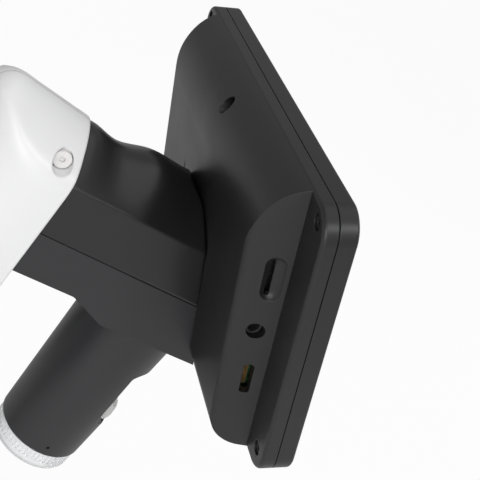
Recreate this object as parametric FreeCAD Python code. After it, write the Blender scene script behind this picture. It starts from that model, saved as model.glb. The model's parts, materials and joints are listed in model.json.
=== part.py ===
import FreeCAD, Part
import math
import os

os.makedirs("parts", exist_ok=True)

# An upright digital microscope with its own screen. All sizes are millimetres.
# Z is up, the user sits on the -Y side, and X = 0 is the plane of symmetry.
# The origin is under the middle of the base, on the table.

# Driving dimensions of the base
base_width = 108.0
base_front_reach = 46.0
base_rear_margin = 13.7
base_corner = 30.0
base_top = 24.0
base_wall = 2.6
base_edge_round = 4.0
foot_height = 3.0
foot_radius = 7.0
plate_thickness = 3.0
plate_clearance = 0.3
ballast_size = (66.0, 54.0, 10.0)
stage_radius = 31.0
stage_thickness = 3.0
stage_proud = 0.4
clip_reach = 30.0
clip_width = 7.0
clip_thickness = 0.8
clip_post_radius = 2.0
clip_post_x = 32.0
clip_post_y = 27.0
base_screw_length = 10.0
pillar_screw_length = 10.5

# Driving dimensions of the pillar and its rack
pillar_width = 20.0
pillar_depth = 7.5
pillar_top = 156.0
pillar_front = 68.8
rack_width = 8.0
rack_back = 2.0
stop_reach = 3.4
slide_down = 50.0
slide_up = 20.0
gear_module = 0.6
gear_teeth = 12
slide_clearance = 0.3
knob_height = 121.0
knob_radius = 17.0
knob_width = 15.0
knob_gap = 1.2
shaft_radius = 2.5
run_clearance = 0.06

# Driving dimensions of the white hood on the pillar
hood_front = 55.1
hood_round_centre = 62.0
hood_rear = 86.5
hood_overlap = 0.79
hood_bottom = 92.0
hood_wall = 2.4
hood_rise = 13.1
hood_rear_rise = 16.6
hood_top_round = 8.0
hood_shoulder = 9.0
hood_split = 0.1
hood_screw_y = 60.8
hood_screw_heights = (100.0, 158.0, 209.3)
hood_screw_depth = 7.5
hood_boss_inner = 12.4
guide_bottom = 95.0
guide_top = 150.0

# Driving dimensions of the neck between the hood and the screen
neck_half_width = 20.96
neck_wall = 2.2
neck_seam = 186.7
neck_crease = 205.2
neck_rise = 11.5
neck_front_rise = 13.2
neck_rear_bottom = 171.1
neck_front_bottom = 165.4
neck_ramp_rear = 32.6
neck_ramp_front = 19.1
neck_end_lean = 32.0
shell_gap = 0.3
neck_screw_x = 15.6
neck_screw_front = 27.0
neck_screw_rear = 47.5

# Driving dimensions of the tilting screen
lean = 28.0
screen_front_y = -15.0
screen_centre_z = 217.2
monitor_width = 147.4
monitor_height = 95.9
monitor_corner = 8.6
bezel_depth = 5.9
monitor_wall = 2.2
trough_depth = 10.5
trough_edge_round = 1.2
trough_width = 14.2
hump_lean_in = 3.6
hump_depth = 23.5
hump_slope = 0.019
hump_top_run = 20.1
hump_bottom_round = 9.8
dish_radius = 4.0
dish_depth = 1.3
window_side_margin = 11.0
window_end_margin = 12.5
panel_lap = 1.3
window_thickness = 1.2
panel_thickness = 5.0
board_depth = 11.8
board_side_room = 5.0
board_low_room = 11.4
board_high_room = 15.4
battery_inner = 6.0
battery_outer_room = 13.0
board_thickness = 1.4
screw_side_inset = 6.1
screw_top_inset = 4.8
screw_bottom_inset = 7.9
upper_screw_inset = 6.5
button_inset = 6.4
button_board_depth = 4.3
button_board_margin = 10.0
button_radius = 3.3
button_proud = 0.8
button_pitch = 16.0
button_count = 6
button_travel = 0.6
button_lip = 0.55

# Driving dimensions of the tilt hinge
tilt_travel = 30.0
hinge_reach = 6.8
hinge_gap = 0.5
hinge_drop = 1.2
bay_side_gap = 0.8
pin_radius = 1.6
pin_half_length = 8.2
lug_inner = 2.8
lug_outer = 5.8
lug_radius = 3.4
lug_drop = 11.0
lug_foot = 5.5
lug_side_gap = 0.3
ear_inner = 6.2
ear_outer = 8.2
knuckle_half = 2.4
ear_radius = 3.0

# Driving dimensions of the camera barrel
rim_radius = 16.5
barrel_taper = 0.037
rim_height = 102.4
barrel_top = 171.5
barrel_bore = 14.2
barrel_stub_radius = 17.0
barrel_gap = 0.1
pocket_turn = -121.0
pocket_low = 121.0
pocket_high = 149.3
pocket_depth = 2.3
wheel_radius = 6.0
wheel_clear = 1.2
wheel_proud = 2.4
wheel_thickness = 5.0
focus_module = 0.5
focus_teeth = 10
lens_tube_radius = 7.6
lens_low = 107.0
lens_travel = 3.5
lamp_clearance = 0.3
board_seat = 160.0
cap_drop = 7.5
cap_insert = 4.0
cap_wall = 2.4
cap_flutes = 60
cap_flute_radius = 0.42
key_hole_turn = 176.2
key_hole_height = 106.4

# Sizes that follow from the driving dimensions
base_depth = base_front_reach + pillar_front + pillar_depth + base_rear_margin
axis_y = base_front_reach - base_depth / 2.0
hood_half_width = neck_half_width + hood_overlap
lean_rad = math.radians(lean)
rack_low = knob_height - slide_down - stop_reach
rack_high = knob_height + slide_up + stop_reach
pitch_radius = gear_module * gear_teeth / 2.0
rack_root = pillar_front - rack_back
rack_pitch_y = rack_root - 1.25 * gear_module
shaft_y = rack_pitch_y - pitch_radius
crease_x = monitor_width / 2.0 - trough_width
hump_half_width = crease_x - hump_lean_in
window_width = monitor_width - 2.0 * window_side_margin
window_height = monitor_height - 2.0 * window_end_margin
board_half_width = hump_half_width - board_side_room
screw_column_x = monitor_width / 2.0 - screw_side_inset
screw_row_high = monitor_height / 2.0 - screw_top_inset
screw_row_low = screw_bottom_inset - monitor_height / 2.0
upper_screw_row = monitor_height / 2.0 - upper_screw_inset
button_row = button_inset - monitor_height / 2.0
board_low = board_low_room - monitor_height / 2.0
board_high = monitor_height / 2.0 - board_high_room
far_away = 2.0 * monitor_width
hinge_u = (neck_crease + neck_front_rise - hinge_reach + hinge_gap - hinge_drop - screen_centre_z
           + (hump_depth + hinge_reach) * math.sin(lean_rad)) / math.cos(lean_rad)
hinge_d = hump_depth + hump_slope * hinge_u + hinge_reach


def at_axis(y):
    """Y of a point given by its distance behind the optical axis."""
    return axis_y + y


def box(x, y, z):
    """A block between pairs of limits."""
    size = (x[1] - x[0], y[1] - y[0], z[1] - z[0])
    return Part.makeBox(size[0], size[1], size[2], FreeCAD.Vector(x[0], y[0], z[0]))


def rod(start, direction, length, radius):
    """A cylinder from a start point along a direction."""
    return Part.makeCylinder(radius, length, FreeCAD.Vector(*start), FreeCAD.Vector(*direction))


def ring(start, direction, length, outer, inner):
    """A tube: one cylinder less another."""
    return rod(start, direction, length, outer).cut(rod(start, direction, length, inner))


def disc_stack(centre, levels):
    """Upright discs on one axis, each given as bottom, top and radius."""
    solids = [rod((centre[0], centre[1], low), (0, 0, 1), high - low, radius)
              for low, high, radius in levels]
    return join(solids)


def join(shapes):
    """Fuse shapes and drop the seams between them."""
    first = shapes[0]
    if len(shapes) > 1:
        first = first.multiFuse(shapes[1:])
    return first.removeSplitter()


def outline(points, place):
    """A closed wire through points (a, b, radius), each corner rounded by its radius."""
    count = len(points)
    entry = []
    leave = []
    middle = []
    for i in range(count):
        a, b, radius = points[i]
        pa, pb, _ = points[i - 1]
        na, nb, _ = points[(i + 1) % count]
        back = math.hypot(pa - a, pb - b)
        ahead = math.hypot(na - a, nb - b)
        u = ((pa - a) / back, (pb - b) / back)
        v = ((na - a) / ahead, (nb - b) / ahead)
        if radius <= 0:
            entry.append((a, b))
            leave.append((a, b))
            middle.append(None)
            continue
        half = math.acos(max(-1.0, min(1.0, u[0] * v[0] + u[1] * v[1]))) / 2.0
        reach = radius / math.tan(half)
        bis = (u[0] + v[0], u[1] + v[1])
        size = math.hypot(bis[0], bis[1])
        centre = radius / math.sin(half)
        near = centre - radius
        entry.append((a + u[0] * reach, b + u[1] * reach))
        leave.append((a + v[0] * reach, b + v[1] * reach))
        middle.append((a + bis[0] / size * near, b + bis[1] / size * near))
    edges = []
    for i in range(count):
        if middle[i] is not None:
            arc = Part.Arc(place(*entry[i]), place(*middle[i]), place(*leave[i]))
            edges.append(arc.toShape())
        j = (i + 1) % count
        if math.hypot(leave[i][0] - entry[j][0], leave[i][1] - entry[j][1]) > 1e-6:
            edges.append(Part.LineSegment(place(*leave[i]), place(*entry[j])).toShape())
    return Part.Wire(edges)


def prism(points, place, direction):
    """A rounded outline swept straight along a direction."""
    return Part.Face(outline(points, place)).extrude(FreeCAD.Vector(*direction))


def rounded_block(width, depth, radius, low, high, centre_y):
    """An upright block with rounded corners, centred on X = 0."""
    x = width / 2.0
    y = depth / 2.0
    corners = [(-x, -y, radius), (x, -y, radius), (x, y, radius), (-x, y, radius)]
    return prism(corners, lambda a, b: FreeCAD.Vector(a, centre_y + b, low), (0, 0, high - low))


def in_screen(shape):
    """Move a shape from screen coordinates (x, depth, up) to its leaned place."""
    moved = shape.copy()
    moved.rotate(FreeCAD.Vector(0, 0, 0), FreeCAD.Vector(1, 0, 0), -lean)
    moved.translate(FreeCAD.Vector(0, at_axis(screen_front_y), screen_centre_z))
    return moved


def screen_point(x, depth, up):
    """The same move for one point."""
    y = depth * math.cos(lean_rad) + up * math.sin(lean_rad)
    z = -depth * math.sin(lean_rad) + up * math.cos(lean_rad)
    return (x, at_axis(screen_front_y) + y, screen_centre_z + z)


def save(name, shape):
    """Write one node's solid or group of solids."""
    shape.exportStep("parts/" + name + ".step")


def gear_face(module, teeth, backlash, place):
    """The outline of a spur gear with straight-sided teeth of 20 degree flanks."""
    pitch = module * teeth / 2.0
    tip = pitch + module
    root = pitch - 1.25 * module
    points = []
    for k in range(teeth):
        middle = 2.0 * math.pi * k / teeth
        half_pitch = math.pi / teeth / 2.0 - backlash / pitch
        spread = math.tan(math.radians(20.0)) / pitch
        half_root = half_pitch + spread * 1.25 * module * 0.6
        half_tip = half_pitch - spread * module
        for radius, turn in ((root, -half_root), (tip, -half_tip), (tip, half_tip), (root, half_root)):
            points.append(place(radius * math.cos(middle + turn), radius * math.sin(middle + turn)))
    points.append(points[0])
    return Part.Face(Part.makePolygon(points))


def rack_points(module, low, high, backlash, tooth_at):
    """Corner points (height, out) of a toothed bar, one tooth centred at tooth_at."""
    pitch = math.pi * module
    first = math.ceil((low + pitch / 2.0 - tooth_at) / pitch)
    last = math.floor((high - pitch / 2.0 - tooth_at) / pitch)
    slope = math.tan(math.radians(20.0))
    points = []
    for k in range(first, last + 1):
        centre = tooth_at + k * pitch
        half = pitch / 4.0 - backlash
        half_root = half + slope * 1.25 * module
        half_tip = half - slope * module
        points.append((centre - half_root, 0.0))
        points.append((centre - half_tip, 2.25 * module))
        points.append((centre + half_tip, 2.25 * module))
        points.append((centre + half_root, 0.0))
    return points


# The base: cover, plate, ballast, feet, stage disc and clips
def base_centre():
    return at_axis(-base_front_reach + base_depth / 2.0)


def foot_places():
    x = base_width / 2.0 - base_corner / 2.0 - 3.0
    y = base_depth / 2.0 - base_corner / 2.0 - 3.0
    return [(sx * x, base_centre() + sy * y) for sx in (-1, 1) for sy in (-1, 1)]


def base_screw_places():
    x = base_width / 2.0 - 9.0
    y = base_depth / 2.0 - base_corner - 6.0
    return [(sx * x, base_centre() + sy * y) for sx in (-1, 1) for sy in (-1, 1)]


def pillar_slot(clearance, low, high):
    x = pillar_width / 2.0 + clearance
    y = (at_axis(pillar_front) - clearance, at_axis(pillar_front + pillar_depth) + clearance)
    return box((-x, x), y, (low, high))


def rack_slot(clearance, low, high):
    x = rack_width / 2.0 + clearance
    front = rack_root - 2.25 * gear_module - clearance
    return box((-x, x), (at_axis(front), at_axis(pillar_front)), (low, high))


def base_cover():
    low = foot_height
    outer = rounded_block(base_width, base_depth, base_corner, low, base_top, base_centre())
    top_edges = [e for e in outer.Edges if min(v.Z for v in e.Vertexes) > base_top - 0.01]
    outer = outer.makeFillet(base_edge_round, top_edges)
    inner = rounded_block(base_width - 2 * base_wall, base_depth - 2 * base_wall,
                          base_corner - base_wall, low, base_top - base_wall, base_centre())
    shell = outer.cut(inner)
    seat_floor = base_top + stage_proud - stage_thickness
    pad = rod((0, axis_y, seat_floor - base_wall), (0, 0, 1), base_wall + 0.5, stage_radius + base_wall)
    bosses = [rod((x, y, low + plate_thickness), (0, 0, 1), base_top - base_wall - low - plate_thickness + 0.5, 4.0)
              for x, y in base_screw_places()]
    posts = [rod((sx * clip_post_x, at_axis(clip_post_y), base_top - 8.0), (0, 0, 1), 7.0, 4.5)
             for sx in (-1, 1)]
    shell = join([shell, pad] + bosses + posts)
    cuts = [rod((0, axis_y, seat_floor), (0, 0, 1), stage_thickness + 1.0, stage_radius + 0.25)]
    cuts.append(box((-6, 6), (at_axis(-stage_radius - 4.0), at_axis(-stage_radius + 4.0)),
                    (seat_floor, base_top + 1.0)))
    cuts += [rod((x, y, low), (0, 0, 1), 12.0, 1.25) for x, y in base_screw_places()]
    cuts += [rod((sx * clip_post_x, at_axis(clip_post_y), base_top - 6.0), (0, 0, 1), 8.0, clip_post_radius + 0.02)
             for sx in (-1, 1)]
    cuts.append(pillar_slot(slide_clearance, low, base_top + 1.0))
    cuts.append(rack_slot(slide_clearance, low, base_top + 1.0))
    for cut in cuts:
        shell = shell.cut(cut)
    return shell


def base_plate():
    inset = base_wall + plate_clearance
    plate = rounded_block(base_width - 2 * inset, base_depth - 2 * inset, base_corner - inset,
                          foot_height, foot_height + plate_thickness, base_centre())
    for x, y in base_screw_places() + pillar_screw_places():
        plate = plate.cut(rod((x, y, foot_height), (0, 0, 1), plate_thickness, 1.7))
        plate = plate.cut(rod((x, y, foot_height), (0, 0, 1), 1.8, 3.2))
    return plate


def countersunk(places, low, length, radius):
    """Cheese-head screws driven upwards from a recess in the plate."""
    screws = []
    for x, y in places:
        head = rod((x, y, low), (0, 0, 1), 1.6, 3.0)
        socket = rod((x, y, low), (0, 0, 1), 0.9, 1.2)
        shank = rod((x, y, low + 1.6), (0, 0, 1), length - 1.6, radius)
        screws.append(head.fuse(shank).cut(socket))
    return Part.makeCompound(screws)


def pillar_screw_places():
    middle = at_axis(pillar_front + pillar_depth / 2.0)
    return [(sx * 16.0, middle) for sx in (-1, 1)]


def ballast_block():
    x, y, z = ballast_size
    low = foot_height + plate_thickness
    block = box((-x / 2, x / 2), (at_axis(-y / 2), at_axis(y / 2)), (low, low + z))
    return block.makeChamfer(1.5, [e for e in block.Edges if abs(e.Vertexes[0].Z - e.Vertexes[1].Z) > 1])


def rubber_feet():
    feet = []
    for x, y in foot_places():
        foot = Part.makeCone(foot_radius - 0.8, foot_radius, foot_height, FreeCAD.Vector(x, y, 0))
        feet.append(foot)
    return Part.makeCompound(feet)


def stage_plate():
    floor = base_top + stage_proud - stage_thickness
    disc = rod((0, axis_y, floor), (0, 0, 1), stage_thickness, stage_radius)
    rim = [e for e in disc.Edges if len(e.Vertexes) == 1 and e.Vertexes[0].Z > floor + 1]
    return disc.makeChamfer(0.5, rim)


def clip_posts():
    posts = []
    for sx in (-1, 1):
        centre = (sx * clip_post_x, at_axis(clip_post_y))
        seat = base_top + stage_proud + 1.0
        levels = [(base_top - 6.0, seat + clip_thickness + 3.0, clip_post_radius),
                  (base_top, seat - 0.1, clip_post_radius + 1.4),
                  (seat + clip_thickness + 0.3, seat + clip_thickness + 3.0, clip_post_radius + 1.6)]
        posts.append(disc_stack(centre, levels))
    return Part.makeCompound(posts)


def stage_clip(side):
    """A spring-steel strip on its post, swung back off the stage, its nose turned down."""
    seat = base_top + stage_proud + 1.0
    profile = [(-4.2, seat, 0), (clip_reach - 8, seat, 0), (clip_reach - 3, seat - 0.7, 0),
               (clip_reach, seat + 0.8, 0), (clip_reach, seat + 0.8 + clip_thickness, 0),
               (clip_reach - 3, seat - 0.7 + clip_thickness, 0),
               (clip_reach - 8, seat + clip_thickness, 0), (-4.2, seat + clip_thickness, 0)]
    half = clip_width / 2.0
    strip = prism(profile, lambda a, b: FreeCAD.Vector(a, -half, b), (0, clip_width, 0))
    plan = [(-4.2, -half, 3.3), (clip_reach, -half, 2.5), (clip_reach, half, 2.5), (-4.2, half, 3.3)]
    strip = strip.common(prism(plan, lambda a, b: FreeCAD.Vector(a, b, 0), (0, 0, 2 * base_top)))
    strip = strip.cut(rod((0, 0, 0), (0, 0, 1), 2 * base_top, clip_post_radius + run_clearance))
    strip.rotate(FreeCAD.Vector(0, 0, 0), FreeCAD.Vector(0, 0, 1), 90.0)
    if side > 0:
        strip = strip.mirror(FreeCAD.Vector(0, 0, 0), FreeCAD.Vector(1, 0, 0))
    strip.translate(FreeCAD.Vector(side * clip_post_x, at_axis(clip_post_y), 0))
    return strip


# The pillar with its rack and stops
def pillar():
    low = foot_height + plate_thickness
    bar = pillar_slot(0.0, low, pillar_top)
    bar = bar.makeChamfer(0.6, [e for e in bar.Edges if min(v.Z for v in e.Vertexes) > pillar_top - 0.01])
    middle = pillar_front + pillar_depth / 2.0
    foot = box((-20, 20), (at_axis(middle - 8), at_axis(middle + 8)), (low, low + 9.0))
    whole = join([bar, foot])
    for x, y in pillar_screw_places():
        whole = whole.cut(rod((x, y, low), (0, 0, 1), 9.0, 1.55))
    return whole


def gear_rack():
    """Brass rack on the pillar's front face, a tooth space level with the pinion's axis."""
    pitch = math.pi * gear_module
    teeth = rack_points(gear_module, rack_low, rack_high, 0.05, knob_height + pitch / 2.0)
    half = rack_width / 2.0
    points = [FreeCAD.Vector(-half, at_axis(pillar_front), rack_low), FreeCAD.Vector(-half, at_axis(rack_root), rack_low)]
    for height, out in teeth:
        points.append(FreeCAD.Vector(-half, at_axis(rack_root - out), height))
    points.append(FreeCAD.Vector(-half, at_axis(rack_root), rack_high))
    points.append(FreeCAD.Vector(-half, at_axis(pillar_front), rack_high))
    points.append(points[0])
    return Part.Face(Part.makePolygon(points)).extrude(FreeCAD.Vector(rack_width, 0, 0))


def rack_stops():
    """End blocks that the pinion meets at the ends of the travel."""
    half = rack_width / 2.0
    front = rack_root - 2.25 * gear_module
    stops = []
    for low, high in ((rack_low - 3.0, rack_low), (rack_high, rack_high + 3.0)):
        stops.append(box((-half, half), (at_axis(front), at_axis(pillar_front)), (low, high)))
    return Part.makeCompound(stops)


# The white hood that runs on the pillar
def hood_plan(inset):
    """The hood's plan: flat front and sides, a round back."""
    half = hood_half_width - inset
    front = at_axis(hood_front) + inset
    centre = at_axis(hood_round_centre)
    reach = hood_rear - hood_round_centre - inset
    big, small = max(half, reach), min(half, reach)
    x_is_major = half >= reach
    major_axis = FreeCAD.Vector(1, 0, 0) if x_is_major else FreeCAD.Vector(0, 1, 0)
    s1 = FreeCAD.Vector(0, centre, 0) + major_axis * big
    minor_axis = FreeCAD.Vector(0, 1, 0) if x_is_major else FreeCAD.Vector(-1, 0, 0)
    s2 = FreeCAD.Vector(0, centre, 0) + minor_axis * small
    ellipse = Part.Ellipse(s1, s2, FreeCAD.Vector(0, centre, 0))
    start = ellipse.parameter(FreeCAD.Vector(half, centre, 0))
    end = ellipse.parameter(FreeCAD.Vector(-half, centre, 0))
    if end <= start:
        end += 2 * math.pi
    arc = Part.ArcOfEllipse(ellipse, start, end).toShape()
    left = Part.LineSegment(FreeCAD.Vector(-half, centre, 0), FreeCAD.Vector(-half, front, 0)).toShape()
    face = Part.LineSegment(FreeCAD.Vector(-half, front, 0), FreeCAD.Vector(half, front, 0)).toShape()
    right = Part.LineSegment(FreeCAD.Vector(half, front, 0), FreeCAD.Vector(half, centre, 0)).toShape()
    return Part.Face(Part.Wire([arc, left, face, right]))


def arch_wire(y, half, bottom, crease, rise, power):
    """A section with flat sides up to the crease and a low arch above it."""
    shares = (1.0, 0.86, 0.68, 0.48, 0.26, 0.0, -0.26, -0.48, -0.68, -0.86, -1.0)
    points = [FreeCAD.Vector(half * s, y, crease + rise * (1.0 - abs(s) ** power)) for s in shares]
    spline = Part.BSplineCurve()
    spline.interpolate(points)
    low_left = FreeCAD.Vector(-half, y, bottom)
    low_right = FreeCAD.Vector(half, y, bottom)
    edges = [Part.LineSegment(low_left, low_right).toShape(),
             Part.LineSegment(low_right, points[0]).toShape(),
             spline.toShape(),
             Part.LineSegment(points[-1], low_left).toShape()]
    return Part.Wire(edges)


def hood_section(y, half, inset):
    """One upright section of the hood: straight sides, soft shoulders and an arched top."""
    slope = (hood_rear_rise - hood_rise) / (hood_rear - hood_front)
    rise = hood_rise + slope * (y - hood_front) - inset
    past = max(0.0, y + hood_top_round - hood_rear)
    reach = hood_top_round - inset
    drop = reach - math.sqrt(max(0.0, reach * reach - past * past))
    shoulders = ((1.0, -hood_shoulder), (0.999, -0.55 * hood_shoulder), (0.985, -0.15 * hood_shoulder),
                 (0.94, 0.4), (0.86, 0.8), (0.68, 0.6), (0.48, 0.4), (0.26, 0.2), (0.0, 0.0))
    right = []
    for share, extra in shoulders:
        spread = share * half / hood_half_width
        height = neck_crease + rise * (1.0 - spread ** 1.6) + extra - drop
        right.append(FreeCAD.Vector(share * half, at_axis(y), height))
    left = [FreeCAD.Vector(-v.x, v.y, v.z) for v in reversed(right[:-1])]
    spline = Part.BSplineCurve()
    spline.interpolate(right + left)
    low = hood_bottom - 1.0 if inset else hood_bottom
    low_left = FreeCAD.Vector(-half, at_axis(y), low)
    low_right = FreeCAD.Vector(half, at_axis(y), low)
    return Part.Wire([Part.LineSegment(low_left, low_right).toShape(),
                      Part.LineSegment(low_right, right[0]).toShape(),
                      spline.toShape(),
                      Part.LineSegment(left[-1], low_left).toShape()])


def hood_body(inset):
    """The hood as a loft from its flat front to its round back."""
    half = hood_half_width - inset
    front = hood_front + inset
    reach = hood_rear - hood_round_centre - inset
    sections = [hood_section(front, half, inset), hood_section((front + hood_round_centre) / 2.0, half, inset),
                hood_section(hood_round_centre, half, inset)]
    for turn in (16.0, 30.0, 43.0, 55.0, 66.0, 76.0, 84.0):
        t = math.radians(turn)
        sections.append(hood_section(hood_round_centre + reach * math.sin(t), half * math.cos(t), inset))
    return Part.makeLoft(sections, True, False)


def hood_half(side):
    shell = hood_body(0.0).cut(hood_body(hood_wall))
    if side < 0:
        keep = box((-40, -hood_split), (at_axis(40), at_axis(100)), (hood_bottom - 2, 2 * neck_crease))
    else:
        keep = box((hood_split, 40), (at_axis(40), at_axis(100)), (hood_bottom - 2, 2 * neck_crease))
    half = shell.common(keep)
    reach = hood_half_width - hood_wall * 0.5 - hood_boss_inner
    y = at_axis(hood_screw_y)
    room = hood_body(hood_wall * 0.5)
    bosses = [rod((side * hood_boss_inner, y, z), (side, 0, 0), reach, 4.4).common(room)
              for z in hood_screw_heights]
    half = join([half] + bosses)
    cuts = [box((-16.5, 16.5), (at_axis(hood_front - 1), at_axis(hood_front + hood_wall + 0.3)),
                (neck_rear_bottom + neck_wall, neck_crease + 0.7)),
            rod((-40, at_axis(shaft_y), knob_height), (1, 0, 0), 80, shaft_radius + 1.2)]
    for z in hood_screw_heights:
        cuts.append(rod((-1.0, y, z), (1, 0, 0), 17.0, 1.5))
        if side < 0:
            cuts.append(rod((-hood_half_width + hood_screw_depth, y, z), (-1, 0, 0), 20.0, 3.2))
            cuts.append(rod((-hood_half_width + hood_screw_depth - 0.1, y, z), (1, 0, 0), 20.0, 1.7))
    cuts.append(pillar_slot(slide_clearance + 0.6, hood_bottom - 2, pillar_top + slide_down + 1.0))
    for cut in cuts:
        half = half.cut(cut)
    return half


def hood_screws():
    screws = []
    head_at = -hood_half_width + hood_screw_depth
    y = at_axis(hood_screw_y)
    for z in hood_screw_heights:
        head = rod((head_at - 1.8, y, z), (1, 0, 0), 1.8, 2.9)
        head = head.cut(rod((head_at - 1.9, y, z), (1, 0, 0), 0.9, 0.9))
        shank = rod((head_at, y, z), (1, 0, 0), 15.0 - head_at, 1.45)
        screws.append(head.fuse(shank))
    return Part.makeCompound(screws)


def column_guide():
    """The sliding block inside the hood, with the bearings of the pinion's shaft."""
    fit = hood_wall + 0.3
    body = hood_plan(fit).extrude(FreeCAD.Vector(0, 0, guide_top - guide_bottom))
    body.translate(FreeCAD.Vector(0, 0, guide_bottom))
    step = box((-40, 40), (at_axis(hood_front), at_axis(hood_front + hood_wall + 3.0)), (knob_height + 8.0, guide_top + 1))
    cavity = box((-5.2, 5.2), (at_axis(hood_front), at_axis(pillar_front)), (knob_height - 5.2, knob_height + 5.2))
    cuts = [step, cavity, pillar_slot(slide_clearance, guide_bottom - 1, guide_top + 1),
            rack_slot(slide_clearance, guide_bottom - 1, guide_top + 1),
            rod((-40, at_axis(shaft_y), knob_height), (1, 0, 0), 80, shaft_radius + run_clearance)]
    y = at_axis(hood_screw_y)
    for z in hood_screw_heights:
        cuts.append(rod((-40, y, z), (1, 0, 0), 80, 1.7))
        cuts += [rod((side * (hood_boss_inner - 0.3), y, z), (side, 0, 0), 20, 4.7) for side in (-1, 1)]
    for cut in cuts:
        body = body.cut(cut)
    return body


# The rack-and-pinion drive
def knob_shaft():
    half = hood_half_width + knob_gap + knob_width - 2.0
    return rod((-half, at_axis(shaft_y), knob_height), (1, 0, 0), 2 * half, shaft_radius)


def drive_pinion():
    place = lambda a, b: FreeCAD.Vector(-4.0, at_axis(shaft_y) + a, knob_height + b)
    gear = gear_face(gear_module, gear_teeth, 0.05, place).extrude(FreeCAD.Vector(8.0, 0, 0))
    return gear.cut(rod((-5, at_axis(shaft_y), knob_height), (1, 0, 0), 10, shaft_radius))


def drive_knob(side):
    """A fluted knob with a dished outer face, bored for the shaft."""
    start = side * (hood_half_width + knob_gap)
    centre = (start, at_axis(shaft_y), knob_height)
    body = rod(centre, (side, 0, 0), knob_width, knob_radius)
    edges = [e for e in body.Edges if e.Length > knob_radius * 5 and len(e.Vertexes) == 1]
    body = body.makeFillet(1.2, edges)
    hub_end = start + side * knob_width
    body = body.cut(rod((hub_end - side * 1.2, at_axis(shaft_y), knob_height), (side, 0, 0), 3.0, knob_radius - 4.0))
    flutes = []
    count = 30
    for k in range(count):
        turn = 2 * math.pi * k / count
        y = at_axis(shaft_y) + (knob_radius + 0.5) * math.cos(turn)
        z = knob_height + (knob_radius + 0.5) * math.sin(turn)
        flutes.append(rod((start + side * 2.5, y, z), (side, 0, 0), knob_width - 4.5, 1.1))
    body = body.cut(Part.makeCompound(flutes))
    return body.cut(rod(centre, (side, 0, 0), knob_width - 2.0, shaft_radius))


# The black neck: two shells on a steel frame
def neck_sections(inset):
    """Width, bottom and arch of the neck at stations behind the optical axis."""
    half = neck_half_width - inset
    bottom = neck_front_bottom - 10.0
    stations = [(hood_front, neck_rise, 1.6), (44.0, neck_rise - 0.9, 1.6), (37.0, neck_rise - 0.3, 1.7),
                (31.5, neck_front_rise - 0.2, 1.9), (26.0, neck_front_rise + 0.3, 2.0),
                (16.0, neck_front_rise, 2.0), (-34.0, neck_front_rise, 2.0)]
    return [arch_wire(at_axis(y), half, bottom, neck_crease, rise - inset, power) for y, rise, power in stations]


def hinge_point():
    return screen_point(0.0, hinge_d, hinge_u)


def neck_front_region(inset, end_reach):
    """All that stays clear of the screen's back from rest to full tilt, rounded about the hinge."""
    _, hy, hz = hinge_point()
    reach = end_reach - inset
    low = math.radians(neck_end_lean)
    high = math.radians(neck_end_lean + tilt_travel)
    spread = (high - low) / 2.0
    middle = (high + low) / 2.0
    corner = (hy - reach / math.cos(spread) * math.cos(middle), hz + reach / math.cos(spread) * math.sin(middle))
    foot = (corner[0] - far_away * math.sin(low), corner[1] - far_away * math.cos(low))
    top = (corner[0] + far_away * math.sin(high), corner[1] + far_away * math.cos(high))
    points = [(foot[0], foot[1], 0), (2 * far_away, foot[1], 0), (2 * far_away, top[1], 0), (top[0], top[1], 0),
              (corner[0], corner[1], reach)]
    return prism(points, lambda a, b: FreeCAD.Vector(-60, a, b), (120, 0, 0))


def neck_floor_region(inset):
    """All above the neck's underside, with the ramp between its two levels."""
    points = [(at_axis(80), neck_rear_bottom + inset, 0), (at_axis(neck_ramp_rear), neck_rear_bottom + inset, 3.0),
              (at_axis(neck_ramp_front), neck_front_bottom + inset, 6.0), (at_axis(-60), neck_front_bottom + inset, 0),
              (at_axis(-60), 300, 0), (at_axis(80), 300, 0)]
    return prism(points, lambda a, b: FreeCAD.Vector(-60, a, b), (120, 0, 0))


def neck_solid(inset):
    body = Part.makeLoft(neck_sections(inset), True, False)
    body = body.common(neck_front_region(inset, hinge_reach - hinge_gap))
    return body.common(neck_floor_region(inset))


def neck_screw_places():
    return [(sx * neck_screw_x, y) for sx in (-1, 1) for y in (neck_screw_front, neck_screw_rear)]


def lug_slots():
    _, hy, hz = hinge_point()
    slots = []
    for sx in (-1, 1):
        x = sorted((sx * (lug_inner - lug_side_gap), sx * (lug_outer + lug_side_gap)))
        slots.append(box(tuple(x), (hy - 25, hy + lug_radius + 0.5), (hz - 6.4, hz + lug_radius + 1.1)))
    return slots


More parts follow.
